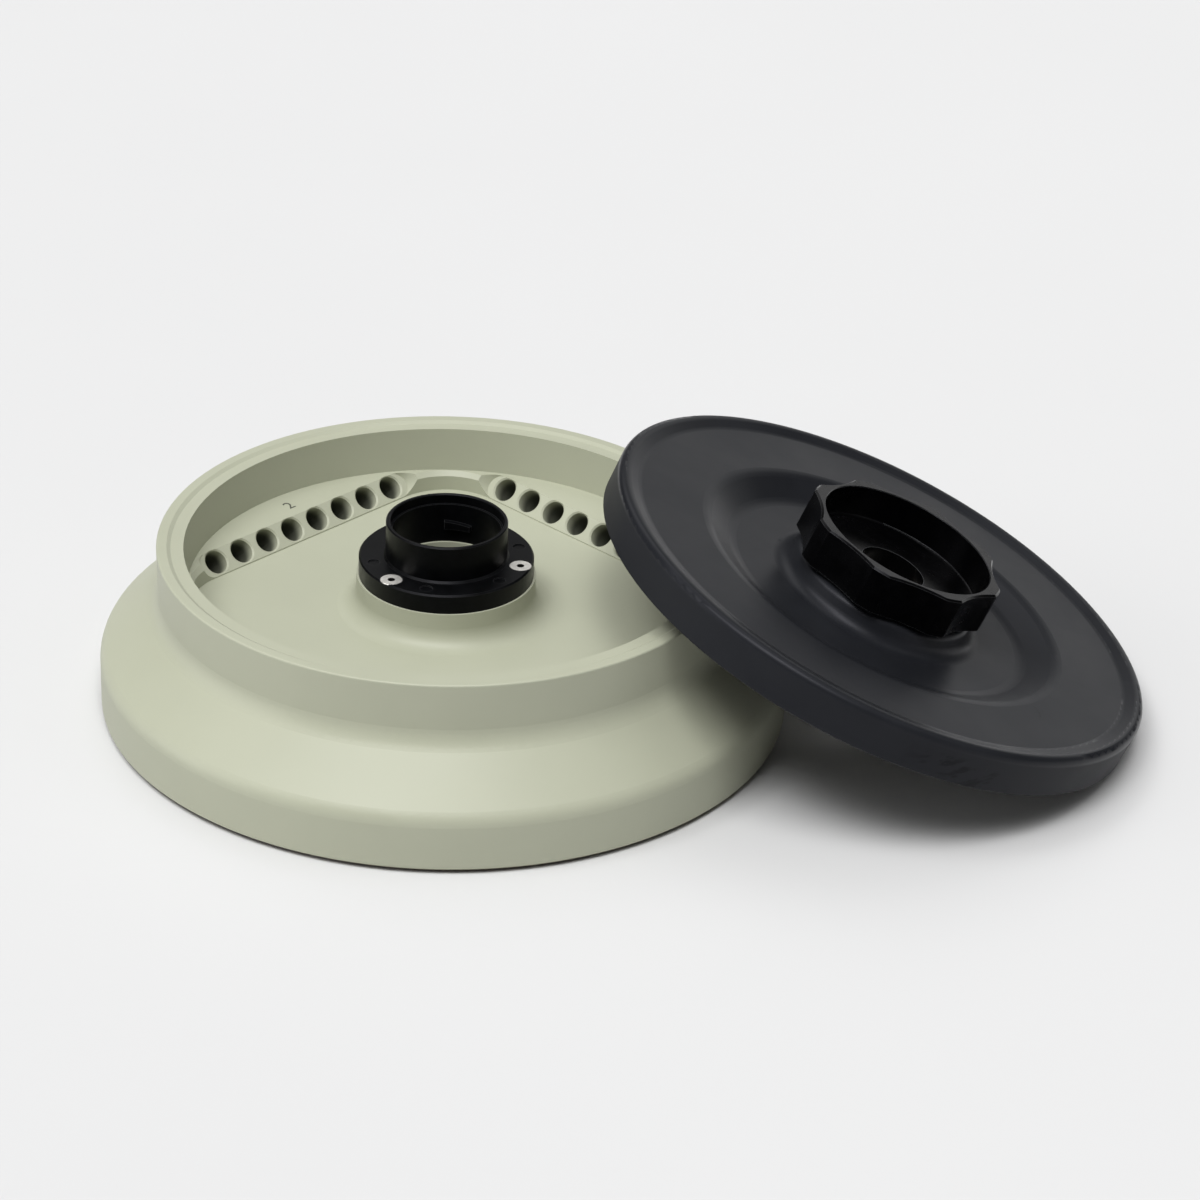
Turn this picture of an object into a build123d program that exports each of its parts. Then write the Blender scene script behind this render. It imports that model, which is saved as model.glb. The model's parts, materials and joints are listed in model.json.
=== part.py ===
from build123d import *
import os
from math import cos, radians, sin

# Fixed angle rotor for strips of small tubes, with its lid leaning on the rim.
# Units are millimetres. Z is the rotor's axis, z = 0 is the face it stands on.

os.makedirs("parts", exist_ok=True)

# ---- clearances -------------------------------------------------------------
FIT_GAP = 0.02          # radial gap of a part that is seated and fixed
RUN_GAP = 0.06          # radial gap of the knob's hub in the lid
LEAN_GAP = 0.12         # gap between the rim and the lid that leans on it

# ---- rotor body, outside ----------------------------------------------------
BAND_TOP_R = 89.2       # largest radius, at the top of the band
BAND_TOP_Z = 15.4
BAND_DRAFT = 0.15       # how much less the radius is at the band's foot
FOOT_IN = 2.05          # bevel between the band and the table
BAND_LOW_Z = 1.67
BAND_LOW_R = BAND_TOP_R - BAND_DRAFT
BASE_R = BAND_LOW_R - FOOT_IN
RIM_R = 74.5
RIM_Z = 45.0
WALL_DRAFT = 0.5        # how much less the radius is at the foot of the upper wall
NECK_R = RIM_R - WALL_DRAFT
NECK_Z = 29.2
BAND_ROUND = 5.0        # rounding between the band and the cone
NECK_FILLET = 6.8       # fillet between the cone and the upper wall
RIM_EDGE = 0.5

# ---- rotor body, inside -----------------------------------------------------
RIM_CROWN = 2.7         # width of the rim's raised outer part
RIM_STEP_DROP = 0.6
RIM_STEP_RUN = 1.0      # width of the slope down to the land
RIM_WIDTH = 7.0
BOWL_DRAFT = 0.9
RIM_STEP_R = RIM_R - RIM_CROWN
BOWL_TOP_R = RIM_R - RIM_WIDTH
PLATEAU_R = BOWL_TOP_R - BOWL_DRAFT
PLATEAU_Z = 32.6
FLOOR_DROP = 5.24       # the pit's floor lies this far below the plateau
FLOOR_Z = PLATEAU_Z - FLOOR_DROP
PIT_HALF = 50.6         # half side of the square pit between the rows
PIT_CORNER_R = 15.6
PIT_CHAMFER = 1.2       # chamfer of the pit's upper edge

# ---- hub of the body and its collar's tube ----------------------------------
TUBE_R = 15.7
TUBE_WALL = 1.7
LIP_WALL = 1.1
TUBE_BORE_R = TUBE_R - TUBE_WALL
LIP_BORE_R = TUBE_R - LIP_WALL
FLANGE_R = 22.6
BOSS_LEDGE = 0.55       # the body's boss shows this much beyond the flange
BOSS_R = FLANGE_R + BOSS_LEDGE
BOSS_RISE = 9.28        # height of the boss above the pit's floor
BOSS_Z = FLOOR_Z + BOSS_RISE
BOSS_FILLET = 5.0
SPIGOT_LAND = 0.8       # the spigot is this much larger than the tube's bore
SPIGOT_R = TUBE_BORE_R + SPIGOT_LAND
SPIGOT_RISE = 1.76
SPIGOT_WALL = 1.4
HUB_BORE_R = SPIGOT_R - SPIGOT_WALL

# ---- rotor body, underside --------------------------------------------------
BASE_WIDTH = 7.0        # width of the ring that stands on the table
SKIRT_INNER_R = BASE_R - BASE_WIDTH
HOLLOW_Z = 11.5
HUB_R = 25.0
HUB_LIFT = 3.0          # hub face stays clear of the driver
HOLLOW_ROUND = 3.0

# ---- tube rows --------------------------------------------------------------
ROW_COUNT = 4
HOLES_PER_ROW = 8
HOLE_PITCH = 9.0
ROW_OUT = 53.56         # distance from the axis to a row's hole centres
ROW_Z = 30.0
TILT = 45.0             # angle of the tube axes
FACE_LIFT = 0.45        # slot face above the hole centre point
SLOT_R = 3.48           # half width of a slot
SLOT_SHIFT = -0.28      # slot centre line below the row of holes
SLOT_END = 33.5         # centre of a slot's round end
SLOT_FLARE = 30.0       # lean of a slot's walls, in degrees
SLOT_REACH = 8.0        # height of the cut above a slot's face
HOLE_R = 3.2
LIP = 0.4               # chamfer at a hole's mouth
HOLE_STRAIGHT = 5.0
HOLE_DEPTH = 18.0
TIP_R = 1.8

# ---- hub collar -------------------------------------------------------------
FLANGE_THICK = 5.16
FLANGE_TOP_Z = BOSS_Z + FLANGE_THICK
TUBE_RISE = 9.94        # the tube stands this far above its flange
TUBE_TOP_Z = FLANGE_TOP_Z + TUBE_RISE
LIP_DEPTH = 2.6
FLANGE_EDGE = 0.4
LUG_IN = 1.3            # how far a lug stands out from the bore
LUG_R = TUBE_BORE_R - LUG_IN
LUG_DROP = 9.34         # a lug's lower face lies this far below the tube's top
LUG_THICK = 1.8
LUG_LOW_Z = TUBE_TOP_Z - LUG_DROP
LUG_HIGH_Z = LUG_LOW_Z + LUG_THICK
LUG_ARC = 30.0
LUG_FIRST = 78.0
LUG_RAMP = 7.0
SCREW_CIRCLE_R = 19.7
SCREW_FIRST = -15.0
DIMPLE_CIRCLE_R = 19.3
DIMPLE_R = 1.65
DIMPLE_DEPTH = 0.3
DIMPLE_STEP = 30.0      # dimples sit this far to each side of a screw

# ---- countersunk screws -----------------------------------------------------
M3_R = 1.5
M3_HEAD_R = 2.85
M3_HEAD_H = 1.6
M3_LENGTH = 12.0
M3_SOCKET_R = 1.05
M25_R = 1.25
M25_HEAD_R = 2.2
M25_HEAD_H = 1.2
M25_SOCKET_R = 0.85
SCREW_SUNK = 0.12       # heads sit this far below their face

# ---- drive bush, its screws and the drive pin -------------------------------
SHAFT_R = 4.0
BUSH_R = 8.5
BUSH_SEAT_GAP = 0.1     # radial gap round the flange
BUSH_FLANGE_R = HUB_BORE_R - BUSH_SEAT_GAP
BUSH_FLANGE_LOW_Z = 26.0
BUSH_FLANGE_THICK = 3.0
BUSH_FLANGE_TOP_Z = BUSH_FLANGE_LOW_Z + BUSH_FLANGE_THICK
BUSH_SCREW_CIRCLE_R = 10.9
BUSH_SCREW_R = 1.0
BUSH_SCREW_HEAD_R = 1.9
BUSH_SCREW_HEAD_H = 1.0
BUSH_SCREW_LENGTH = 8.0
PIN_R = 2.0
PIN_OUT = 17.0
PIN_LOW_Z = 0.6
PIN_TOP_Z = 12.0

# ---- lid, heights measured from the plane of its crest ----------------------
LID_CENTRE = (112.907, -6.436, 39.955)
LID_DOWNHILL = (0.91868, 0.00625, -0.39495)
LID_NORMAL = (0.39494, 0.00269, 0.91870)
LID_R = 75.2
LID_DRAFT = 0.2
LID_FOOT_R = LID_R - LID_DRAFT
LID_FOOT_H = -11.24
LID_EDGE_ROUND = 1.8
CREST_IN = 2.7          # top of the slope inside the crest, from the edge
CREST_R = LID_R - CREST_IN
CREST_ROUND = 3.0
CREST_FOOT_ROUND = 4.0
CREST_SLOPE_RUN = 3.2
ANNULUS_R = CREST_R - CREST_SLOPE_RUN
ANNULUS_H = -1.04
WELL_TOP_R = 50.06
WELL_FLOOR_R = 41.6
WELL_FLOOR_H = -5.09
WELL_ROUND = 7.0        # rounding of the well's upper and lower edges
LID_BOSS_FOOT_R = 26.6
LID_BOSS_R = 24.6
LID_BOSS_H = 1.0
LID_BOSS_ROUND = 2.4
LID_BOSS_FILLET = 4.0
SKIRT_WALL = 3.8
SKIRT_R = LID_R - SKIRT_WALL
LID_THICK = 3.16
ANNULUS_UNDER_H = ANNULUS_H - LID_THICK
WELL_UNDER_R = 44.0
LID_WEB_H = -1.2        # underside of the web that carries the knob

# ---- lid seal ---------------------------------------------------------------
SEAL_WIDTH = 2.8
SEAL_INNER_R = SKIRT_R - SEAL_WIDTH
SEAL_PROUD = 0.46       # the seal hangs this far below the skirt
SEAL_HEIGHT = 5.1
SEAL_LOW_H = LID_FOOT_H - SEAL_PROUD
SEAL_TOP_H = SEAL_LOW_H + SEAL_HEIGHT
SEAL_BEAD_DEPTH = 0.9
SEAL_BEAD_R = SKIRT_R + SEAL_BEAD_DEPTH
SEAL_BEAD_UP = 1.34     # the bead's lower edge above the skirt's foot
SEAL_BEAD_HEIGHT = 1.6
SEAL_BEAD_LOW_H = LID_FOOT_H + SEAL_BEAD_UP
SEAL_BEAD_TOP_H = SEAL_BEAD_LOW_H + SEAL_BEAD_HEIGHT

# ---- knob -------------------------------------------------------------------
LOBES = 8
LOBE_FIRST = 24.0
LOBE_R = 27.0
LOBE_HALF = 5.5
SCALLOP_DEPTH = 2.2
SCALLOP_R = LOBE_R - SCALLOP_DEPTH
KNOB_CLEAR = 0.5        # gap between the knob and the lid's boss
KNOB_LOW_H = LID_BOSS_H + KNOB_CLEAR
KNOB_HEIGHT = 11.7
KNOB_TOP_H = KNOB_LOW_H + KNOB_HEIGHT
KNOB_CHAMFER = 0.5
LOBE_ROUND = 1.25
KNOB_WALL = 1.3         # thinnest wall, behind a scallop
KNOB_BOWL_R = SCALLOP_R - KNOB_WALL
KNOB_BOWL_ROUND = 0.5     # fillet between the bowl's floor and wall
KNOB_EDGE = 0.2
KNOB_FLOOR_THICK = 2.9
KNOB_FLOOR_H = KNOB_LOW_H + KNOB_FLOOR_THICK
KNOB_HOLE_R = 8.8
KNOB_HUB_R = 13.6
KNOB_HUB_DEPTH = 0.7    # the knob's hub reaches this far below the lid's web
KNOB_HUB_LOW_H = LID_WEB_H - KNOB_HUB_DEPTH

# ---- bayonet bush and slip washer -------------------------------------------
CLAW_GAP = 0.3          # radial gap between the claws and the collar
CLAW_R = LUG_R - CLAW_GAP
CLAW_FLANGE_WIDTH = 2.8
CLAW_FLANGE_R = KNOB_HUB_R + CLAW_FLANGE_WIDTH
CLAW_FLANGE_THICK = 2.3
CLAW_FLANGE_LOW_H = KNOB_HUB_LOW_H - CLAW_FLANGE_THICK
CLAW_LENGTH = 12.0
CLAW_LOW_H = CLAW_FLANGE_LOW_H - CLAW_LENGTH
CLAW_LUG_R = TUBE_BORE_R - CLAW_GAP
CLAW_LUG_THICK = 2.25
CLAW_LUG_TOP_H = CLAW_LOW_H + CLAW_LUG_THICK
LID_RECESS_GAP = 0.6    # the lid's recess round the bush's flange
LID_HUB_RECESS_R = CLAW_FLANGE_R + LID_RECESS_GAP
CLAW_LUG_ARC = 26.0
CLAW_FIRST = 40.0
KNOB_SCREW_FIRST = CLAW_FIRST + 60    # midway between two claws
KNOB_SCREW_CIRCLE_R = 11.2
KNOB_SCREW_LENGTH = 7.4
FLUTE_R = 2.35
WASHER_THICK = 0.6
WASHER_GAP = 0.05

# ---- O-ring under the knob --------------------------------------------------
ORING_R = 18.5
ORING_THICK_R = 0.9
ORING_PROUD = 0.25


def revolved(points):
    """Solid of revolution about Z from (radius, height) points."""
    outline = make_face(Polyline([(r, 0, z) for r, z in points], close=True))
    return revolve(outline, Axis.Z)


def ring(inner, outer, low, high):
    """Plain tube between two radii and two heights."""
    body = Pos(0, 0, low) * Cylinder(outer, high - low, align=(Align.CENTER, Align.CENTER, Align.MIN))
    if inner > 0:
        body -= Pos(0, 0, low) * Cylinder(inner, high - low, align=(Align.CENTER, Align.CENTER, Align.MIN))
    return body


def disc(radius, low, high):
    return ring(0, radius, low, high)


def wedge(start, arc, radius, low, high):
    """Pie slice used to limit a ring to part of a turn."""
    steps = 8
    points = [(0, 0)]
    for i in range(steps + 1):
        turn = radians(start + arc * i / steps)
        points.append((radius * cos(turn), radius * sin(turn)))
    face = make_face(Polyline(points, close=True))
    return Pos(0, 0, low) * extrude(face, high - low)


def circle_edge(body, radius, height):
    """The circular edge of a body at a given radius and height."""
    circles = body.edges().filter_by(GeomType.CIRCLE)
    return [e for e in circles if abs(e.radius - radius) < 0.01 and abs(e.center().Z - height) < 0.01]


def turned(angle, shape):
    return Rot(0, 0, angle) * shape


# ---- screws -----------------------------------------------------------------
def countersunk_screw(shank_r, head_r, head_h, length, socket_r):
    """Screw whose head face is at z = 0 and whose shank points down."""
    rim = 0.25
    body = revolved([
        (0, 0), (head_r - 0.1, 0), (head_r, -0.1), (head_r, -rim),
        (shank_r, -head_h), (shank_r, 0.4 - length), (shank_r - 0.4, -length), (0, -length),
    ])
    socket_depth = 0.75 * head_h
    star = RegularPolygon(socket_r, 6) + Rot(0, 0, 30) * RegularPolygon(socket_r, 6)
    for i in range(6):
        turn = 60 * i
        star -= Rot(0, 0, turn + 15) * Pos(socket_r * 1.06, 0) * Circle(socket_r * 0.16)
    return body - Pos(0, 0, -socket_depth) * extrude(star, socket_depth + 0.1)


def countersink(shank_r, head_r, head_h, depth):
    """Hole that takes a countersunk screw, with its mouth at z = 0."""
    hole_r = shank_r + FIT_GAP
    seat = revolved([
        (0, 1), (head_r + 0.12, 1), (head_r + 0.12, -0.25 - SCREW_SUNK),
        (hole_r, -head_h - SCREW_SUNK - 0.03), (hole_r, -depth), (0, -depth),
    ])
    return seat


# ---- rotor body -------------------------------------------------------------
def rotor_outside():
    profile = Polyline([
        (0, 0, 0), (BASE_R, 0, 0), (BAND_LOW_R, 0, BAND_LOW_Z), (BAND_TOP_R, 0, BAND_TOP_Z),
        (NECK_R, 0, NECK_Z), (RIM_R, 0, RIM_Z), (0, 0, RIM_Z),
    ], close=True)
    body = revolve(make_face(profile), Axis.Z)
    body = fillet(circle_edge(body, BAND_TOP_R, BAND_TOP_Z), BAND_ROUND)
    body = fillet(circle_edge(body, NECK_R, NECK_Z), NECK_FILLET)
    return fillet(circle_edge(body, RIM_R, RIM_Z), RIM_EDGE)


def bowl_space():
    """Space inside the rim: turned bowl and the square pit, upper edge chamfered."""
    land_z = RIM_Z - RIM_STEP_DROP
    bowl = revolved([
        (0, PLATEAU_Z), (PLATEAU_R, PLATEAU_Z), (BOWL_TOP_R, land_z), (RIM_STEP_R - RIM_STEP_RUN, land_z),
        (RIM_STEP_R, RIM_Z), (RIM_STEP_R, RIM_Z + 1), (0, RIM_Z + 1),
    ])
    square = RectangleRounded(2 * PIT_HALF, 2 * PIT_HALF, PIT_CORNER_R)
    pit = Rot(0, 0, 45) * Pos(0, 0, FLOOR_Z) * extrude(square, PLATEAU_Z - FLOOR_Z + 1)
    space = bowl + pit
    level = [e for e in space.edges() if abs(e.center().Z - PLATEAU_Z) < 0.01 and e.bounding_box().size.Z < 0.01]
    edge = [e for e in level if e.geom_type == GeomType.LINE or e.radius < PLATEAU_R - 1]
    return chamfer(edge, PIT_CHAMFER)


def hub_boss():
    """Raised centre of the body: boss, fillet and centring ring."""
    boss = disc(BOSS_R + BOSS_FILLET + 2, FLOOR_Z - 1, FLOOR_Z) + disc(BOSS_R, FLOOR_Z - 1, BOSS_Z)
    boss = fillet(circle_edge(boss, BOSS_R, FLOOR_Z), BOSS_FILLET)
    return boss + disc(SPIGOT_R, FLOOR_Z, BOSS_Z + SPIGOT_RISE)


def row_plane():
    """Plane of the row at azimuth 0: X along the row, Z out of the holes."""
    outward = Vector(1, 0, 0)
    along = Vector(0, -1, 0)
    lift = Vector(-sin(radians(TILT)), 0, cos(radians(TILT)))
    return Plane(origin=outward * ROW_OUT + Vector(0, 0, ROW_Z), x_dir=along, z_dir=lift)


def tube_hole():
    """Space of one tube, mouth at the slot face, axis along Z."""
    top = FACE_LIFT
    low = top - HOLE_DEPTH
    return revolved([
        (0, top + 0.5), (HOLE_R + LIP + 0.5, top + 0.5), (HOLE_R, top - LIP), (HOLE_R, top - HOLE_STRAIGHT),
        (TIP_R, low + TIP_R), (TIP_R * 0.6, low), (0, low),
    ])


def tube_row():
    """Slot and eight blind holes of one row, on the plane of the row."""
    slot = SlotCenterToCenter(2 * SLOT_END, 2 * SLOT_R)
    space = Pos(0, SLOT_SHIFT, FACE_LIFT) * extrude(slot, SLOT_REACH, taper=-SLOT_FLARE)
    hole = tube_hole()
    for i in range(HOLES_PER_ROW):
        along = (i - (HOLES_PER_ROW - 1) / 2) * HOLE_PITCH
        space += Pos(along, 0, 0) * hole
    return space


def underside_space():
    web = revolved([
        (HUB_R, -1), (SKIRT_INNER_R, -1), (SKIRT_INNER_R, HOLLOW_Z), (HUB_R, HOLLOW_Z),
    ])
    web = fillet(circle_edge(web, HUB_R, HOLLOW_Z) + circle_edge(web, SKIRT_INNER_R, HOLLOW_Z), HOLLOW_ROUND)
    return web + ring(0, HUB_R + 0.5, -1, HUB_LIFT)


def make_rotor_body():
    body = rotor_outside() - bowl_space() + hub_boss()
    for k in range(ROW_COUNT):
        body -= turned(45 + 90 * k, row_plane().location * tube_row())
    body -= underside_space()
    body -= disc(HUB_BORE_R, BUSH_FLANGE_LOW_Z, RIM_Z)
    body -= disc(BUSH_R + FIT_GAP, -1, RIM_Z)
    for angle in screw_angles(SCREW_FIRST):
        hole_z = FLANGE_TOP_Z - SCREW_SUNK - M3_LENGTH - 1
        body -= turned(angle, Pos(SCREW_CIRCLE_R, 0, 0) * disc(M3_R + FIT_GAP, hole_z, RIM_Z))
    for angle in screw_angles(0):
        low = BUSH_FLANGE_TOP_Z - BUSH_SCREW_LENGTH - 1
        hole = Pos(BUSH_SCREW_CIRCLE_R, 0, 0) * disc(BUSH_SCREW_R + FIT_GAP, low, BUSH_FLANGE_TOP_Z)
        body -= turned(angle, hole)
    body -= Pos(PIN_OUT, 0, 0) * disc(PIN_R + FIT_GAP, 0, PIN_TOP_Z + 0.3)
    return body


def screw_angles(first):
    return [first + 120 * k for k in range(3)]


# ---- drive parts ------------------------------------------------------------
def make_drive_bush():
    bush = ring(SHAFT_R, BUSH_R, 0, BUSH_FLANGE_LOW_Z + 0.5)
    bush += ring(SHAFT_R, BUSH_FLANGE_R, BUSH_FLANGE_LOW_Z, BUSH_FLANGE_TOP_Z)
    for angle in screw_angles(0):
        sink = countersink(BUSH_SCREW_R, BUSH_SCREW_HEAD_R, BUSH_SCREW_HEAD_H, 10)
        bush -= turned(angle, Pos(BUSH_SCREW_CIRCLE_R, 0, BUSH_FLANGE_TOP_Z) * sink)
    return bush


def make_bush_screw(angle):
    screw = countersunk_screw(BUSH_SCREW_R, BUSH_SCREW_HEAD_R, BUSH_SCREW_HEAD_H, BUSH_SCREW_LENGTH, 0.7)
    return turned(angle, Pos(BUSH_SCREW_CIRCLE_R, 0, BUSH_FLANGE_TOP_Z - SCREW_SUNK) * screw)


def make_drive_pin():
    pin = disc(PIN_R, PIN_LOW_Z, PIN_TOP_Z)
    pin = chamfer(pin.edges().filter_by(GeomType.CIRCLE), 0.4)
    return Pos(PIN_OUT, 0, 0) * pin


# ---- hub collar -------------------------------------------------------------
def collar_lug():
    """Inward lug at azimuth 0, its upper face inclined along the turn."""
    sector = ring(LUG_R, TUBE_BORE_R + 0.3, LUG_LOW_Z, LUG_HIGH_Z + 2)
    lug = sector & wedge(-LUG_ARC / 2, LUG_ARC, 20, LUG_LOW_Z - 1, LUG_HIGH_Z + 3)
    top = Pos(TUBE_BORE_R, 0, LUG_HIGH_Z) * Rot(LUG_RAMP, 0, 0) * Box(
        10, 30, 6, align=(Align.CENTER, Align.CENTER, Align.MIN))
    return lug - top


def make_hub_collar():
    collar = revolved([
        (SPIGOT_R + FIT_GAP, BOSS_Z), (FLANGE_R, BOSS_Z), (FLANGE_R, FLANGE_TOP_Z - FLANGE_EDGE),
        (FLANGE_R - FLANGE_EDGE, FLANGE_TOP_Z), (TUBE_R + 0.5, FLANGE_TOP_Z), (TUBE_R, FLANGE_TOP_Z + 0.5),
        (TUBE_R, TUBE_TOP_Z - 0.3), (TUBE_R - 0.3, TUBE_TOP_Z), (LIP_BORE_R + 0.2, TUBE_TOP_Z),
        (LIP_BORE_R, TUBE_TOP_Z - 0.2), (LIP_BORE_R, TUBE_TOP_Z - LIP_DEPTH),
        (TUBE_BORE_R, TUBE_TOP_Z - LIP_DEPTH), (TUBE_BORE_R, BOSS_Z + SPIGOT_RISE + 0.04),
        (SPIGOT_R + FIT_GAP, BOSS_Z + SPIGOT_RISE + 0.04),
    ])
    for angle in screw_angles(LUG_FIRST):
        collar += turned(angle, collar_lug())
    for angle in screw_angles(SCREW_FIRST):
        sink = countersink(M3_R, M3_HEAD_R, M3_HEAD_H, 8)
        collar -= turned(angle, Pos(SCREW_CIRCLE_R, 0, FLANGE_TOP_Z) * sink)
        for side in (-DIMPLE_STEP, DIMPLE_STEP):
            dimple = Pos(DIMPLE_CIRCLE_R, 0, 0) * disc(DIMPLE_R, FLANGE_TOP_Z - DIMPLE_DEPTH, FLANGE_TOP_Z + 1)
            collar -= turned(angle + side, dimple)
    return collar


def make_collar_screw(angle):
    screw = countersunk_screw(M3_R, M3_HEAD_R, M3_HEAD_H, M3_LENGTH, M3_SOCKET_R)
    return turned(angle, Pos(SCREW_CIRCLE_R, 0, FLANGE_TOP_Z - SCREW_SUNK) * screw)


# ---- lid, built about its own axis ------------------------------------------
def lean():
    """Place of the lid: its crest plane, tilted against the rotor's rim."""
    return Plane(origin=LID_CENTRE, x_dir=LID_DOWNHILL, z_dir=LID_NORMAL).location


def rim_contact_height():
    """Height, in the lid's frame, of the rim corner that the lid leans on."""
    corner = Vector(RIM_R, 0, RIM_Z) - Vector(*LID_CENTRE)
    return corner.dot(Vector(*LID_NORMAL))


def make_lid_plate():
    under = rim_contact_height() + LEAN_GAP
    plate = revolved([
        (KNOB_HUB_R + RUN_GAP, LID_BOSS_H), (LID_BOSS_R, LID_BOSS_H), (LID_BOSS_FOOT_R, WELL_FLOOR_H),
        (WELL_FLOOR_R, WELL_FLOOR_H), (WELL_TOP_R, ANNULUS_H), (ANNULUS_R, ANNULUS_H), (CREST_R, 0), (LID_R, 0),
        (LID_FOOT_R, LID_FOOT_H + 0.3), (LID_FOOT_R - 0.3, LID_FOOT_H), (SKIRT_R + 0.2, LID_FOOT_H),
        (SKIRT_R, LID_FOOT_H + 0.2),
        (SKIRT_R, SEAL_BEAD_LOW_H), (SEAL_BEAD_R, SEAL_BEAD_LOW_H + 0.3), (SEAL_BEAD_R, SEAL_BEAD_TOP_H - 0.3),
        (SKIRT_R, SEAL_BEAD_TOP_H), (SKIRT_R, ANNULUS_UNDER_H),
        (WELL_TOP_R + 2.2, ANNULUS_UNDER_H), (WELL_UNDER_R, under), (LID_HUB_RECESS_R, under),
        (LID_HUB_RECESS_R, LID_WEB_H), (KNOB_HUB_R + RUN_GAP, LID_WEB_H),
    ])
    rounds = [
        (LID_R, 0, LID_EDGE_ROUND), (CREST_R, 0, CREST_ROUND), (ANNULUS_R, ANNULUS_H, CREST_FOOT_ROUND),
        (WELL_TOP_R, ANNULUS_H, WELL_ROUND), (WELL_FLOOR_R, WELL_FLOOR_H, WELL_ROUND),
        (LID_BOSS_FOOT_R, WELL_FLOOR_H, LID_BOSS_FILLET), (LID_BOSS_R, LID_BOSS_H, LID_BOSS_ROUND),
    ]
    for radius, height, size in rounds:
        plate = fillet(circle_edge(plate, radius, height), size)
    groove = Pos(0, 0, oring_height()) * Torus(ORING_R, ORING_THICK_R + FIT_GAP)
    return plate - groove


def oring_height():
    return LID_BOSS_H + ORING_PROUD - ORING_THICK_R


def make_lid_seal():
    gap = FIT_GAP
    seal = revolved([
        (SEAL_INNER_R, SEAL_LOW_H + 0.6), (SEAL_INNER_R + 0.6, SEAL_LOW_H), (SKIRT_R - 0.7, SEAL_LOW_H),
        (SKIRT_R - gap, SEAL_LOW_H + 0.7),
        (SKIRT_R - gap, SEAL_BEAD_LOW_H + gap), (SEAL_BEAD_R - gap, SEAL_BEAD_LOW_H + 0.3 + gap),
        (SEAL_BEAD_R - gap, SEAL_BEAD_TOP_H - 0.3 - gap), (SKIRT_R - gap, SEAL_BEAD_TOP_H - gap),
        (SKIRT_R - gap, SEAL_TOP_H), (SEAL_INNER_R + 0.8, SEAL_TOP_H), (SEAL_INNER_R, SEAL_TOP_H - 0.8),
    ])
    return seal


def make_knob_seal():
    return Pos(0, 0, oring_height()) * Torus(ORING_R, ORING_THICK_R)


# ---- knob and what turns with it --------------------------------------------
def knob_outline():
    """Plan of the knob: eight short tip arcs joined by concave scallops."""
    pieces = []
    step = 360 / LOBES

    def at(radius, angle):
        return (radius * cos(radians(angle)), radius * sin(radians(angle)))

    for i in range(LOBES):
        mid = LOBE_FIRST + step * i
        pieces.append(ThreePointArc(at(LOBE_R, mid - LOBE_HALF), at(LOBE_R, mid), at(LOBE_R, mid + LOBE_HALF)))
        valley = mid + step / 2
        pieces.append(ThreePointArc(
            at(LOBE_R, mid + LOBE_HALF), at(SCALLOP_R, valley), at(LOBE_R, mid + step - LOBE_HALF)))
    return make_face(Wire(Curve() + pieces))


def make_knob():
    height = KNOB_TOP_H - KNOB_LOW_H
    body = extrude(knob_outline(), height)
    upright = body.edges().filter_by(Axis.Z)
    body = fillet(upright, LOBE_ROUND)
    ends = body.faces().sort_by(Axis.Z)
    body = chamfer(ends[-1].edges() + ends[0].edges(), KNOB_CHAMFER)
    body = Pos(0, 0, KNOB_LOW_H) * body
    bowl = revolved([
        (0, KNOB_FLOOR_H), (KNOB_BOWL_R, KNOB_FLOOR_H), (KNOB_BOWL_R, KNOB_TOP_H - KNOB_EDGE),
        (KNOB_BOWL_R + KNOB_EDGE, KNOB_TOP_H), (KNOB_BOWL_R + KNOB_EDGE, KNOB_TOP_H + 1), (0, KNOB_TOP_H + 1),
    ])
    body -= fillet(circle_edge(bowl, KNOB_BOWL_R, KNOB_FLOOR_H), KNOB_BOWL_ROUND)
    body += disc(KNOB_HUB_R, KNOB_HUB_LOW_H, KNOB_LOW_H + 0.5)
    body -= disc(KNOB_HOLE_R, KNOB_HUB_LOW_H - 1, KNOB_TOP_H)
    for angle in screw_angles(KNOB_SCREW_FIRST):
        tapped = Pos(KNOB_SCREW_CIRCLE_R, 0, 0) * disc(M25_R + FIT_GAP, KNOB_HUB_LOW_H - 1, 3.5)
        body -= turned(angle, tapped)
    return body


def make_bayonet_bush():
    bush = ring(KNOB_HOLE_R, CLAW_FLANGE_R, CLAW_FLANGE_LOW_H, KNOB_HUB_LOW_H)
    bush += ring(KNOB_HOLE_R, CLAW_R, CLAW_LOW_H, CLAW_FLANGE_LOW_H + 0.5)
    for angle in screw_angles(CLAW_FIRST):
        lug = ring(CLAW_R - 0.5, CLAW_LUG_R, CLAW_LOW_H, CLAW_LUG_TOP_H)
        lug &= wedge(-CLAW_LUG_ARC / 2, CLAW_LUG_ARC, 20, CLAW_LOW_H - 1, CLAW_LUG_TOP_H + 1)
        bush += turned(angle, lug)
    for angle in screw_angles(KNOB_SCREW_FIRST):
        flute = disc(FLUTE_R, CLAW_LOW_H - 1, CLAW_FLANGE_LOW_H)
        sink = Pos(0, 0, CLAW_FLANGE_LOW_H) * Rot(180, 0, 0) * countersink(M25_R, M25_HEAD_R, M25_HEAD_H, 8)
        bush -= turned(angle, Pos(KNOB_SCREW_CIRCLE_R, 0, 0) * (flute + sink))
    return bush


def make_knob_screw(angle):
    screw = countersunk_screw(M25_R, M25_HEAD_R, M25_HEAD_H, KNOB_SCREW_LENGTH, M25_SOCKET_R)
    seat = CLAW_FLANGE_LOW_H + SCREW_SUNK
    return turned(angle, Pos(KNOB_SCREW_CIRCLE_R, 0, seat) * Rot(180, 0, 0) * screw)


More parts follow.
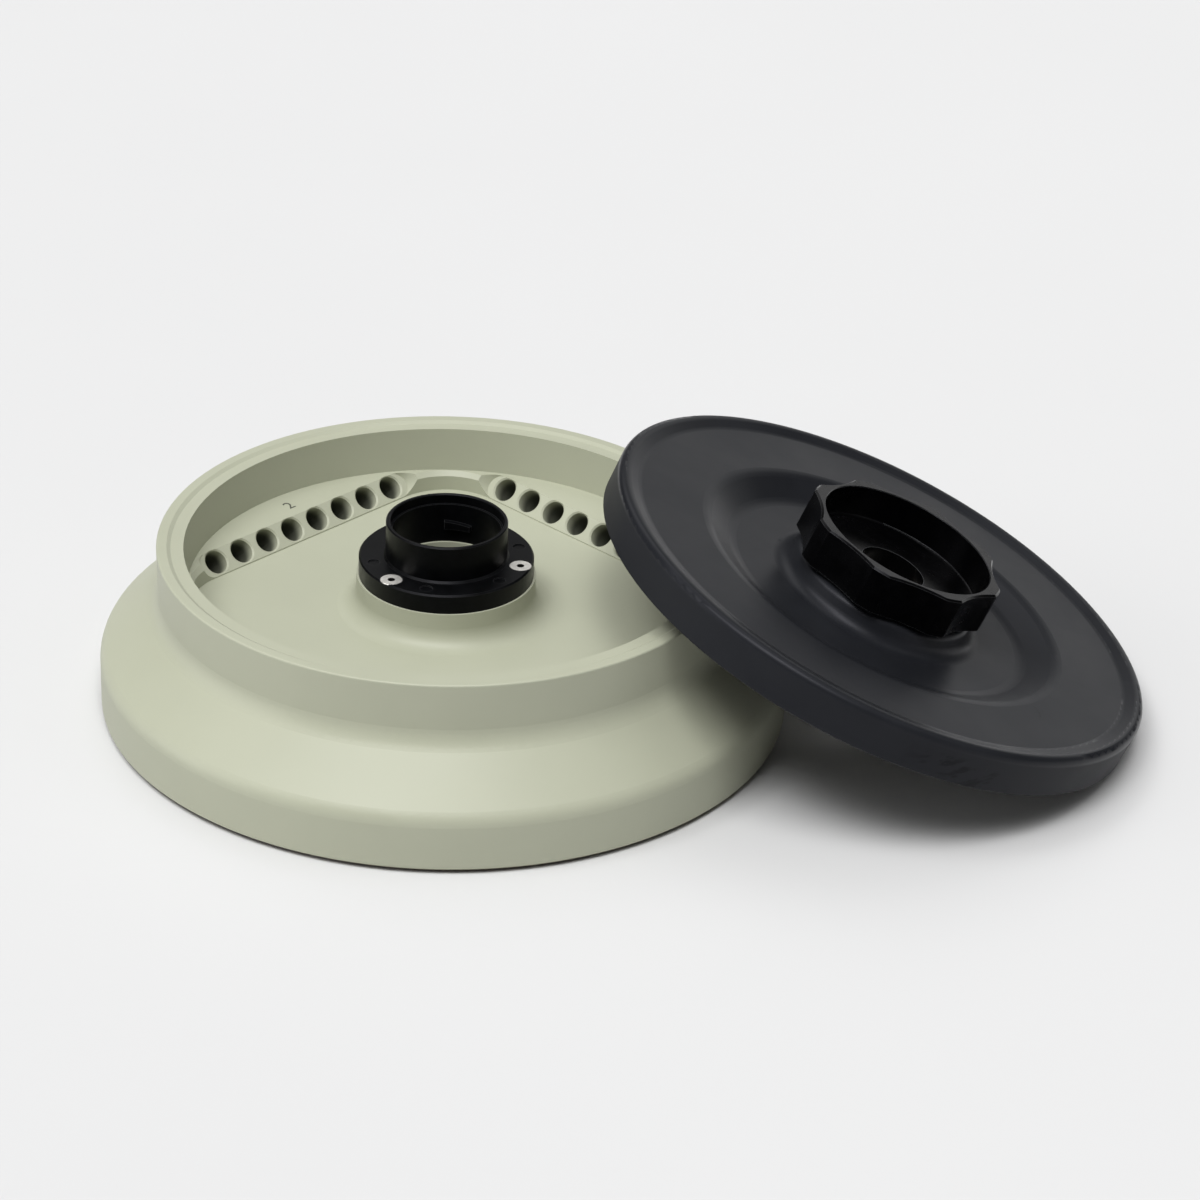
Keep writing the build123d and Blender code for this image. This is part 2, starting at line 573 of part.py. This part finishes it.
def make_slip_washer():
    top = LID_WEB_H - WASHER_GAP
    return ring(KNOB_HUB_R + RUN_GAP, CLAW_FLANGE_R - 0.2, top - WASHER_THICK, top)


def main():
    parts = {
        "rotor_body": make_rotor_body(),
        "drive_bush": make_drive_bush(),
        "drive_pin": make_drive_pin(),
        "hub_collar": make_hub_collar(),
    }
    for i, angle in enumerate(screw_angles(0)):
        parts[f"bush_screw_{i + 1}"] = make_bush_screw(angle)
    for i, angle in enumerate(screw_angles(SCREW_FIRST)):
        parts[f"collar_screw_{i + 1}"] = make_collar_screw(angle)
    leaning = {
        "lid_plate": make_lid_plate(),
        "lid_seal": make_lid_seal(),
        "knob_seal": make_knob_seal(),
        "slip_washer": make_slip_washer(),
        "knob": make_knob(),
        "bayonet_bush": make_bayonet_bush(),
    }
    for i, angle in enumerate(screw_angles(KNOB_SCREW_FIRST)):
        leaning[f"knob_screw_{i + 1}"] = make_knob_screw(angle)
    place = lean()
    for name, shape in leaning.items():
        parts[name] = place * shape
    for name, shape in parts.items():
        export_step(shape, f"parts/{name}.step")
        print(name, "volume", round(shape.volume, 1), "solids", len(shape.solids()), "valid", shape.is_valid)


main()
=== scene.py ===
import json
import math

import bpy
from mathutils import Matrix, Vector


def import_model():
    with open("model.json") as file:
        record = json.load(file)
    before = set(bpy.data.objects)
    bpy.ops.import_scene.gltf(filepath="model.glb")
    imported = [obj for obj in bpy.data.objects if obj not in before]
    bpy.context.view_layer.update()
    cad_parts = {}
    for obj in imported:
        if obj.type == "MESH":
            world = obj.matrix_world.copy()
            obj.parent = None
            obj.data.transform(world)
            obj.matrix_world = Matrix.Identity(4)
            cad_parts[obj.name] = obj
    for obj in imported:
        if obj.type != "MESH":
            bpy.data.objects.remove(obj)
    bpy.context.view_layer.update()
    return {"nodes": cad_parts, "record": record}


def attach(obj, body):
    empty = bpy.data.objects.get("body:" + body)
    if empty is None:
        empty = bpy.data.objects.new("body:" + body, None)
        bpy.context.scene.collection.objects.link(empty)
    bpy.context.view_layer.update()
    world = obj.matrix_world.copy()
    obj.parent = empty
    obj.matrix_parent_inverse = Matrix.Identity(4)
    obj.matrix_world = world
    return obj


# Looks of the fixed angle rotor and its lid. Lengths are metres, in the part's own frame.

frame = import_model()
nodes = frame["nodes"]
MM = 0.001
SIN_45 = math.sqrt(0.5)
DEGREES_PER_RADIAN = math.degrees(1)

# ---- places on the rotor -----------------------------------------------------
PLATEAU_Z = 32.6 * MM
NUMERAL_R = 60.5 * MM
NUMERAL_SIZE = 5.0 * MM
NUMERAL_HALF_THICKNESS = 0.01 * MM
NUMERAL_Z = PLATEAU_Z + 0.012 * MM
FIRST_ROW_AZIMUTH = 44               # degrees; the other rows follow by quarter turns
SCREW_FACE_Z = 41.68 * MM            # tops of the collar screws
# painted shade in the collar screws' sockets fades in between these heights
SOCKET_PAINTED_SHADE_Z = (SCREW_FACE_Z - 0.2 * MM, SCREW_FACE_Z - 0.08 * MM)
ROTOR_STEEL_X = 60 * MM              # steel further out is the lid's
FOOT_TOP = (0.7 * MM, 1.2 * MM)      # the dark brown band at the foot fades out here

# Tube holes, measured outward and upward from the middle line of a row.
ROW_OUT = 53.56 * MM
ROW_Z = 30.0 * MM
ROW_HALF_LENGTH = 36 * MM
HOLE_HALF_WIDTH = 3.35 * MM
HOLE_BOTTOM = -18.5 * MM             # along the hole's axis
HOLE_FURTHEST_OUT = 14.5 * MM
HOLE_SHADE = (-4.0 * MM, -0.3 * MM)  # full darkness and its start, along the axis

# ---- places on the lid -------------------------------------------------------
LID_CENTRE = Vector((112.907, -6.436, 39.955)) * MM
LID_U = Vector((0.91868, 0.00625, -0.39495))
LID_V = Vector((-0.00680, 0.99998, 0.0))
LID_N = Vector((0.39494, 0.00269, 0.91870))
SKIRT_R = 73 * MM
SKIRT_TOP = (-2.5 * MM, -1.5 * MM)

# Marks on the lid. Bearings are degrees round its axis; each pair is where a mark fades in or out.
SMUDGE_START = (-90, -80)
SMUDGE_END = (-70, -62)
SMUDGE_TOP = (-5.0 * MM, -3.0 * MM)
SCRATCH_CENTRE = (36.1 * MM, -38.6 * MM)
SCRATCH_R = 4.75 * MM
SCRATCH_EDGE = (0.10 * MM, 0.26 * MM)
SCRATCH_START = (-30, -5)
SCRATCH_END = (40, 66)

NOISE_MIDDLE = (0.3, 0.7)            # the part of a noise's range that most points fall in
ALMOST_FLAT = 0.99                   # agreement of the bevelled and the true normal
TURNING_WAVES = 26000                # radians a metre, a groove each 0.24 mm


# ---- small helpers for nodes -------------------------------------------------
class Graph:
    """Short names for building the nodes of one tree, which starts empty."""

    def __init__(self, tree):
        self.tree = tree
        self.tree.nodes.clear()

    def add(self, kind, **settings):
        node = self.tree.nodes.new(kind)
        for key, value in settings.items():
            setattr(node, key, value)
        return node

    def link(self, a, b):
        self.tree.links.new(a, b)

    def feed(self, socket, value):
        """Link another node's output or set a plain value; None leaves the socket alone."""
        if hasattr(value, "is_output"):
            self.link(value, socket)
        elif value is not None:
            socket.default_value = value

    def vector(self, operation, a, b):
        node = self.add("ShaderNodeVectorMath", operation=operation)
        self.feed(node.inputs[0], a)
        self.feed(node.inputs[1], b)
        return node.outputs["Value" if operation == "DOT_PRODUCT" else "Vector"]

    def math(self, operation, a, b=None, c=None):
        node = self.add("ShaderNodeMath", operation=operation)
        for socket, value in zip(node.inputs, (a, b, c)):
            self.feed(socket, value)
        return node.outputs[0]

    def times(self, first, *others):
        product = first
        for factor in others:
            product = self.math("MULTIPLY", product, factor)
        return product

    def squares(self, x, y):
        """x squared plus y squared."""
        return self.math("ADD", self.times(x, x), self.times(y, y))


class Net(Graph):
    """One material, with its shader and the point's place on the part."""

    def __init__(self, name):
        self.mat = bpy.data.materials.new(name)
        self.mat.use_nodes = True
        super().__init__(self.mat.node_tree)
        self.bsdf = self.add("ShaderNodeBsdfPrincipled")
        surface = self.add("ShaderNodeOutputMaterial").inputs["Surface"]
        self.link(self.bsdf.outputs[0], surface)
        self.place = self.add("ShaderNodeTexCoord").outputs["Object"]

    def noise(self, scale, detail=3.0, rough=0.55, stretch=None):
        node = self.add("ShaderNodeTexNoise")
        node.inputs["Scale"].default_value = scale
        node.inputs["Detail"].default_value = detail
        node.inputs["Roughness"].default_value = rough
        source = self.vector("MULTIPLY", self.place, stretch) if stretch else self.place
        self.link(source, node.inputs["Vector"])
        return node.outputs["Fac"]

    def ramp(self, value, low, high, to_low=0.0, to_high=1.0):
        node = self.add("ShaderNodeMapRange", interpolation_type="SMOOTHSTEP")
        for key, item in zip(("Value", "From Min", "From Max", "To Min", "To Max"),
                             (value, low, high, to_low, to_high)):
            self.feed(node.inputs[key], item)
        return node.outputs["Result"]

    def spread(self, noise, low=0.0, high=1.0):
        """The middle of a noise's range, spread from low to high."""
        return self.ramp(noise, *NOISE_MIDDLE, low, high)

    def between(self, value, start, end):
        """1 between two limits, fading in over start and out over end."""
        return self.times(self.ramp(value, *start), self.ramp(value, *end, 1.0, 0.0))

    def mix(self, share, a, b):
        node = self.add("ShaderNodeMix", data_type="RGBA")
        self.feed(node.inputs[0], share)
        for socket, value in ((node.inputs[6], a), (node.inputs[7], b)):
            self.feed(socket, (*value, 1.0) if isinstance(value, tuple) else value)
        return node.outputs[2]

    def mottle(self, noise, a, b):
        """Two near colours, mixed by a noise."""
        return self.mix(self.spread(noise), a, b)

    def bump(self, height, strength, distance):
        node = self.add("ShaderNodeBump")
        node.inputs["Strength"].default_value = strength
        node.inputs["Distance"].default_value = distance
        self.link(height, node.inputs["Height"])
        self.link(node.outputs["Normal"], self.bsdf.inputs["Normal"])

    def split(self, vector):
        node = self.add("ShaderNodeSeparateXYZ")
        self.link(vector, node.inputs[0])
        return node.outputs

    def in_lid(self):
        """The point in the lid's frame: U downhill, V level across the slope, N up its axis."""
        from_centre = self.vector("SUBTRACT", self.place, tuple(LID_CENTRE))
        return [self.vector("DOT_PRODUCT", from_centre, tuple(axis))
                for axis in (LID_U, LID_V, LID_N)]

    def edge(self, radius, full):
        """1 on a sharp edge, 0 on flat faces: near an edge the bevelled normal leaves the true one."""
        bevel = self.add("ShaderNodeBevel", samples=8)
        bevel.inputs["Radius"].default_value = radius
        true = self.add("ShaderNodeNewGeometry").outputs["True Normal"]
        agreement = self.vector("DOT_PRODUCT", bevel.outputs[0], true)
        return self.ramp(agreement, full, ALMOST_FLAT, 1.0, 0.0)

    def set(self, **values):
        """Feed the shader's inputs; an underscore stands for each space in a name."""
        for name, value in values.items():
            self.feed(self.bsdf.inputs[name.replace("_", " ")], value)


# ---- materials ---------------------------------------------------------------
def painted_hole_shade(net, x, y, z):
    """Mask of painted shade in the tube holes: 0 outside them, rising to 1 some millimetres down; the
    four rows mirror each other.
    """
    x = net.math("ABSOLUTE", x)
    y = net.math("ABSOLUTE", y)
    out = net.math("SUBTRACT", net.times(net.math("ADD", x, y), SIN_45), ROW_OUT)
    rise = net.math("SUBTRACT", z, ROW_Z)
    along_row = net.math("ABSOLUTE", net.times(net.math("SUBTRACT", x, y), SIN_45))
    up_axis = net.times(net.math("SUBTRACT", rise, out), SIN_45)
    off_axis = net.math("ABSOLUTE", net.times(net.math("ADD", rise, out), SIN_45))
    return net.times(
        net.math("LESS_THAN", off_axis, HOLE_HALF_WIDTH),
        net.math("GREATER_THAN", up_axis, HOLE_BOTTOM),
        net.math("LESS_THAN", out, HOLE_FURTHEST_OUT),
        net.math("LESS_THAN", along_row, ROW_HALF_LENGTH),
        net.ramp(up_axis, *HOLE_SHADE, 1.0, 0.0),
    )


def body_coat():
    """Sage green satin coating, with painted shade down the tube holes and a dark brown band at the
    very foot.
    """
    net = Net("body_coat")
    x, y, z = net.split(net.place)
    cloud = net.noise(28, 4.0)
    grain = net.noise(2600, 2.0)
    colour = net.mottle(cloud, (0.385, 0.397, 0.303), (0.400, 0.412, 0.316))
    colour = net.mix(net.ramp(grain, 0.62, 0.8, 0.0, 0.2), colour, (0.32, 0.33, 0.25))
    # painted shade: the colour darkens down inside the tube holes
    colour = net.mix(painted_hole_shade(net, x, y, z), colour, (0.10, 0.105, 0.08))
    uneven_z = net.math("ADD", z, net.times(cloud, 0.3 * MM))
    # the colour turns dark brown towards the very foot
    colour = net.mix(net.ramp(uneven_z, *FOOT_TOP, 1.0, 0.0), colour, (0.11, 0.07, 0.045))
    net.set(Base_Color=colour, Roughness=net.ramp(cloud, 0.2, 0.8, 0.42, 0.5),
            Specular_IOR_Level=0.4)
    net.bump(grain, 0.12, 0.00006)
    return net.mat


def bearing(net, u, v):
    """Angle in degrees, from the lid's downhill side."""
    return net.times(net.math("ARCTAN2", v, u), DEGREES_PER_RADIAN)


def on_skirt(net, u, v, n):
    """1 on the lid's outer wall, 0 elsewhere."""
    beyond = net.math("GREATER_THAN", net.squares(u, v), SKIRT_R ** 2)
    return net.times(beyond, net.ramp(n, *SKIRT_TOP, 1.0, 0.0))


def skirt_smudges(net, u, v, n):
    """Dark cloudy handling marks low on the front of the skirt."""
    reach = net.between(bearing(net, u, v), SMUDGE_START, SMUDGE_END)
    low = net.times(net.ramp(n, *SMUDGE_TOP, 1.0, 0.0), on_skirt(net, u, v, n))
    streaks = net.noise(130, 4.0, 0.6, stretch=(1.0, 1.0, 2.6))
    return net.times(reach, low, net.ramp(streaks, 0.50, 0.60, 0.0, 0.75))


def curved_scratch(net, u, v):
    """One short dark arc on the annulus."""
    along = net.math("SUBTRACT", u, SCRATCH_CENTRE[0])
    across = net.math("SUBTRACT", v, SCRATCH_CENTRE[1])
    radius = net.math("SQRT", net.squares(along, across))
    off_line = net.math("ABSOLUTE", net.math("SUBTRACT", radius, SCRATCH_R))
    line = net.ramp(off_line, *SCRATCH_EDGE, 0.8, 0.0)
    return net.times(line, net.between(bearing(net, along, across), SCRATCH_START, SCRATCH_END))


def lid_coat():
    """Dark grey satin coating with faint handling marks, duller on the skirt."""
    net = Net("lid_coat")
    u, v, n = net.in_lid()
    cloud = net.noise(45, 5.0)
    grain = net.noise(2400, 2.0)
    marks = net.math("MAXIMUM", skirt_smudges(net, u, v, n), curved_scratch(net, u, v))
    colour = net.mottle(cloud, (0.0100, 0.0107, 0.0130), (0.0125, 0.0134, 0.0160))
    colour = net.mix(marks, colour, (0.002, 0.0022, 0.003))
    duller = net.times(on_skirt(net, u, v, n), 0.2)
    roughness = net.math("ADD", net.ramp(cloud, 0.25, 0.75, 0.32, 0.40), duller)
    net.set(Base_Color=colour, Roughness=roughness, Specular_Tint=(0.22, 0.22, 0.24, 1))
    net.bump(grain, 0.15, 0.00006)
    return net.mat


def collar_black():
    """Black collar with fine turning marks and painted highlights on its edges."""
    net = Net("collar_black")
    x, y, _ = net.split(net.place)
    radius = net.math("SQRT", net.squares(x, y))
    turning = net.math("SINE", net.times(radius, TURNING_WAVES))
    cloud = net.noise(300, 3.0)
    colour = net.mottle(cloud, (0.0013, 0.0014, 0.0016), (0.0022, 0.0024, 0.0028))
    # painted highlight: the colour is lighter along sharp edges
    colour = net.mix(net.edge(0.25 * MM, 0.8), colour, (0.033, 0.034, 0.036))
    net.set(Base_Color=colour, Roughness=net.spread(cloud, 0.32, 0.42),
            Specular_Tint=(0.12, 0.12, 0.13, 1))
    net.bump(turning, 0.05, 0.00002)
    return net.mat


def knob_black():
    """Moulded glossy black knob with lit edges and a faint orange-peel surface."""
    net = Net("knob_black")
    cloud = net.noise(260, 3.0)
    fine = net.noise(1500, 2.0)
    colour = net.mottle(cloud, (0.0006, 0.0006, 0.0007), (0.001, 0.001, 0.0012))
    # painted highlight: the colour is lighter along sharp edges
    colour = net.mix(net.edge(0.3 * MM, 0.86), colour, (0.065, 0.067, 0.07))
    net.set(Base_Color=colour, Roughness=net.spread(cloud, 0.2, 0.28),
            Specular_Tint=(0.12, 0.12, 0.13, 1))
    net.bump(fine, 0.06, 0.00005)
    return net.mat


def steel():
    """Plated steel, bright but not mirror-like, with painted shade in the rotor below the collar
    screws' tops.

    The painted shade is for those screws' sockets, but it takes in the drive bush, its pin and its
    screws.
    """
    net = Net("steel")
    x, _, z = net.split(net.place)
    cloud = net.noise(700, 4.0)
    colour = net.mix(net.ramp(cloud, 0.3, 0.75), (0.70, 0.68, 0.64), (0.80, 0.78, 0.74))
    # painted shade: the steel is dark in the screw sockets below the screws' tops
    below_tops = net.ramp(z, *SOCKET_PAINTED_SHADE_Z, 1.0, 0.0)
    dark = net.times(below_tops, net.math("LESS_THAN", x, ROTOR_STEEL_X))
    colour = net.mix(dark, colour, (0.03, 0.028, 0.025))
    net.set(Base_Color=colour, Metallic=0.75, Roughness=net.spread(cloud, 0.42, 0.52))
    net.bump(cloud, 0.02, 0.00001)
    return net.mat


def rubber():
    """Matt black rubber of the two seals."""
    net = Net("rubber")
    grain = net.noise(1800, 3.0)
    colour = net.mottle(grain, (0.012, 0.012, 0.013), (0.022, 0.022, 0.023))
    net.set(Base_Color=colour, Roughness=net.spread(grain, 0.6, 0.75))
    net.bump(grain, 0.2, 0.00008)
    return net.mat


def washer_white():
    """Off-white plastic of the slip washer."""
    net = Net("washer_white")
    grain = net.noise(1200, 3.0)
    colour = net.mottle(grain, (0.72, 0.72, 0.69), (0.8, 0.8, 0.77))
    net.set(Base_Color=colour, Roughness=net.spread(grain, 0.4, 0.5))
    net.bump(grain, 0.1, 0.00005)
    return net.mat


def ink():
    """Dark printed ink of the row numerals."""
    net = Net("numeral_ink")
    grain = net.noise(3000, 2.0)
    colour = net.mottle(grain, (0.045, 0.047, 0.04), (0.075, 0.078, 0.065))
    net.set(Base_Color=colour, Roughness=net.spread(grain, 0.5, 0.6))
    return net.mat


MAKERS = {
    "body_coat": body_coat, "lid_grey": lid_coat,
    "collar_black": collar_black, "knob_black": knob_black,
    "steel": steel, "rubber": rubber, "washer_white": washer_white,
}
materials = {name: make() for name, make in MAKERS.items()}
for part in frame["record"]["subparts"]:
    thing = nodes[part["node"]]
    thing.data.materials.clear()
    thing.data.materials.append(materials[part["material_slot"]])


# ---- row numerals on the plateau ---------------------------------------------
def numeral(text, azimuth, material):
    """A plain number beside the middle of a row, read from the rotor's centre."""
    curve = bpy.data.curves.new(f"row_number_{text}", "FONT")
    curve.body = text
    curve.size = NUMERAL_SIZE
    curve.align_x = "CENTER"
    curve.align_y = "CENTER"
    curve.extrude = NUMERAL_HALF_THICKNESS
    number = bpy.data.objects.new(f"row_number_{text}", curve)
    bpy.context.scene.collection.objects.link(number)
    turn = math.radians(azimuth)
    number.location = (NUMERAL_R * math.cos(turn), NUMERAL_R * math.sin(turn), NUMERAL_Z)
    number.rotation_euler = (0, 0, turn - math.pi / 2)
    curve.materials.append(material)
    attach(number, "rotor")


numeral_ink = ink()
for row in range(4):
    numeral(str(row + 1), FIRST_ROW_AZIMUTH + 90 * row, numeral_ink)


# ---- floor, light and camera -------------------------------------------------
# Each glow: azimuth and elevation in degrees, strength and tightness. The first four are the key,
# high at the front left. The strengths come from a least-squares fit to the photo's brightness,
# rounded, with some changed and one added.
GLOWS = (
    (-125, 58, 21.9, 90), (-85, 70, 21.4, 90), (-165, 58, 13.8, 90), (-85, 58, 9.9, 90),
    (60, 68, 2.4, 24), (108, 48, 2.0, 24), (180, 8, 3.6, 24), (-160, 26, 1.8, 24),
    (66, 8, 0.95, 24), (-36, 8, 1.0, 24), (-5, 45, 1.3, 24),
)
BACKDROP = (0.87, 0.87, 0.87, 1)
FLOOR_HALF = 6.0                     # metres

# The photo's camera, solved from the circles and the hole mouths that show.
CAMERA_PLACE = (0, -1.083635, 0.614214)
CAMERA_YAW = math.radians(2.111)
CAMERA_PITCH = math.radians(28.341)
CAMERA_ROLL = math.radians(2.073)
CAMERA_LENS_MM = 142.718
CAMERA_SENSOR_MM = 36.0


def floor():
    """A wide sheet of pale paper under the part."""
    half = FLOOR_HALF
    corners = [(-half, -half, 0), (half, -half, 0), (half, half, 0), (-half, half, 0)]
    mesh = bpy.data.meshes.new("floor")
    mesh.from_pydata(corners, [], [(0, 1, 2, 3)])
    plane = bpy.data.objects.new("floor", mesh)
    bpy.context.scene.collection.objects.link(plane)
    net = Net("floor_paper")
    colour = net.mottle(net.noise(3, 3.0), (0.607, 0.607, 0.609), (0.615, 0.615, 0.617))
    net.set(Base_Color=colour, Roughness=0.9, Specular_IOR_Level=0.0)
    mesh.materials.append(net.mat)


def world():
    """Soft studio light, the sum of the glows; the camera itself sees a plain grey backdrop."""
    sky = bpy.data.worlds.new("studio")
    bpy.context.scene.world = sky
    sky.use_nodes = True
    graph = Graph(sky.node_tree)
    toward = graph.add("ShaderNodeTexCoord").outputs["Generated"]
    total = 0.0
    for azimuth, elevation, power, tightness in GLOWS:
        turn = math.radians(azimuth)
        rise = math.radians(elevation)
        aim = (math.cos(turn) * math.cos(rise), math.sin(turn) * math.cos(rise), math.sin(rise))
        facing = graph.math("MAXIMUM", graph.vector("DOT_PRODUCT", toward, aim), 0.0)
        lobe = graph.math("POWER", facing, tightness)
        total = graph.math("MULTIPLY_ADD", lobe, power, total)
    light = graph.add("ShaderNodeBackground")
    graph.link(total, light.inputs["Strength"])
    plain = graph.add("ShaderNodeBackground")
    plain.inputs["Color"].default_value = BACKDROP
    blend = graph.add("ShaderNodeMixShader")
    graph.link(graph.add("ShaderNodeLightPath").outputs["Is Camera Ray"], blend.inputs[0])
    graph.link(light.outputs[0], blend.inputs[1])
    graph.link(plain.outputs[0], blend.inputs[2])
    graph.link(blend.outputs[0], graph.add("ShaderNodeOutputWorld").inputs["Surface"])


def camera():
    """Sets the photo's camera: yaw and pitch turn its view, roll turns it about that view."""
    yaw, pitch, roll = CAMERA_YAW, CAMERA_PITCH, CAMERA_ROLL
    ahead = Vector((math.sin(yaw) * math.cos(pitch), math.cos(yaw) * math.cos(pitch),
                    -math.sin(pitch)))
    right = Vector((math.cos(yaw), -math.sin(yaw), 0))
    up = right.cross(ahead)
    x_axis = math.cos(roll) * right + math.sin(roll) * up
    y_axis = -math.sin(roll) * right + math.cos(roll) * up
    turn = Matrix((x_axis, y_axis, -ahead)).transposed()
    data = bpy.data.cameras.new("camera")
    data.lens = CAMERA_LENS_MM
    data.sensor_width = CAMERA_SENSOR_MM
    eye = bpy.data.objects.new("camera", data)
    eye.matrix_world = Matrix.Translation(CAMERA_PLACE) @ turn.to_4x4()
    bpy.context.scene.collection.objects.link(eye)
    bpy.context.scene.camera = eye


floor()
world()
camera()
bpy.context.scene.view_settings.view_transform = "Standard"

bpy.context.view_layer.update()
